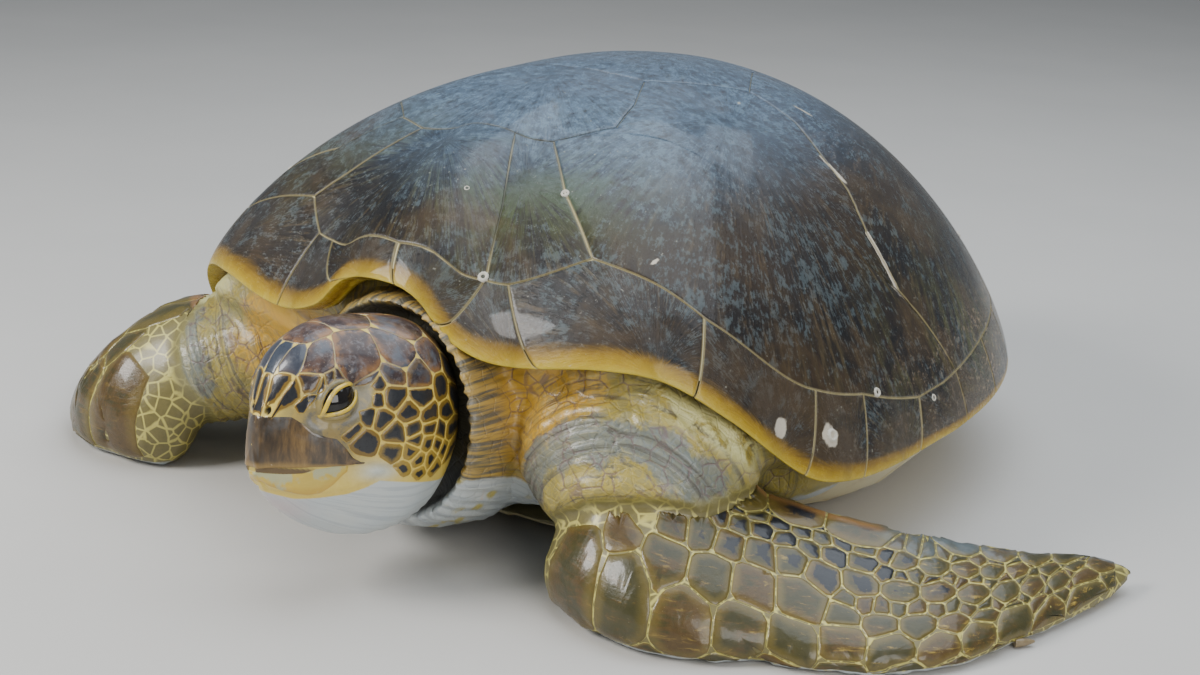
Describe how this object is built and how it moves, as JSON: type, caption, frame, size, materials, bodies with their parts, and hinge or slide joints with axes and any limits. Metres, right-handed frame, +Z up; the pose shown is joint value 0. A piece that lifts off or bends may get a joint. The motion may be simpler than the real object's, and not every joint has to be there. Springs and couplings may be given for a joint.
{
  "type": "sea turtle",
  "caption": "Life-size adult green sea turtle lying on the floor, head raised and fore flippers swept back, in still display form.",
  "frame": {"origin": "on the floor, in the flat middle of the plastron, under the carapace", "axes": "-Y toward the head, +X toward the turtle's left, +Z up"},
  "size_m": [1.2534, 1.2532, 0.443],
  "materials": {
    "carapace_horn": "wet dark horn",
    "plastron_horn": "pale yellow horn",
    "yellow_skin": "wrinkled yellow and grey-blue skin",
    "throat_skin": "smooth white skin",
    "olive_scales": "wet olive-brown scales with pale seams",
    "head_scales": "wet purple-brown scales with yellow seams",
    "beak_horn": "brown horn",
    "jaw_horn": "yellow horn",
    "eye": "glossy black",
    "claw_horn": "brown horn"
  },
  "bodies": {
    "root": {"carapace": "carapace_horn", "plastron": "plastron_horn", "trunk": "yellow_skin", "neck": "yellow_skin", "head": "head_scales", "upper_beak": "beak_horn", "lower_beak": "jaw_horn", "lower_jaw": "throat_skin", "eye_left": "eye", "eye_right": "eye", "upper_arm_left": "yellow_skin", "upper_arm_right": "yellow_skin", "forearm_left": "olive_scales", "forearm_right": "olive_scales", "fore_flipper_left": "olive_scales", "fore_flipper_right": "olive_scales", "fore_claw_left": "claw_horn", "fore_claw_right": "claw_horn", "thigh_left": "yellow_skin", "thigh_right": "yellow_skin", "hind_flipper_left": "olive_scales", "hind_flipper_right": "olive_scales", "hind_claw_left": "claw_horn", "hind_claw_right": "claw_horn", "tail": "yellow_skin"}
  },
  "joints": []
}
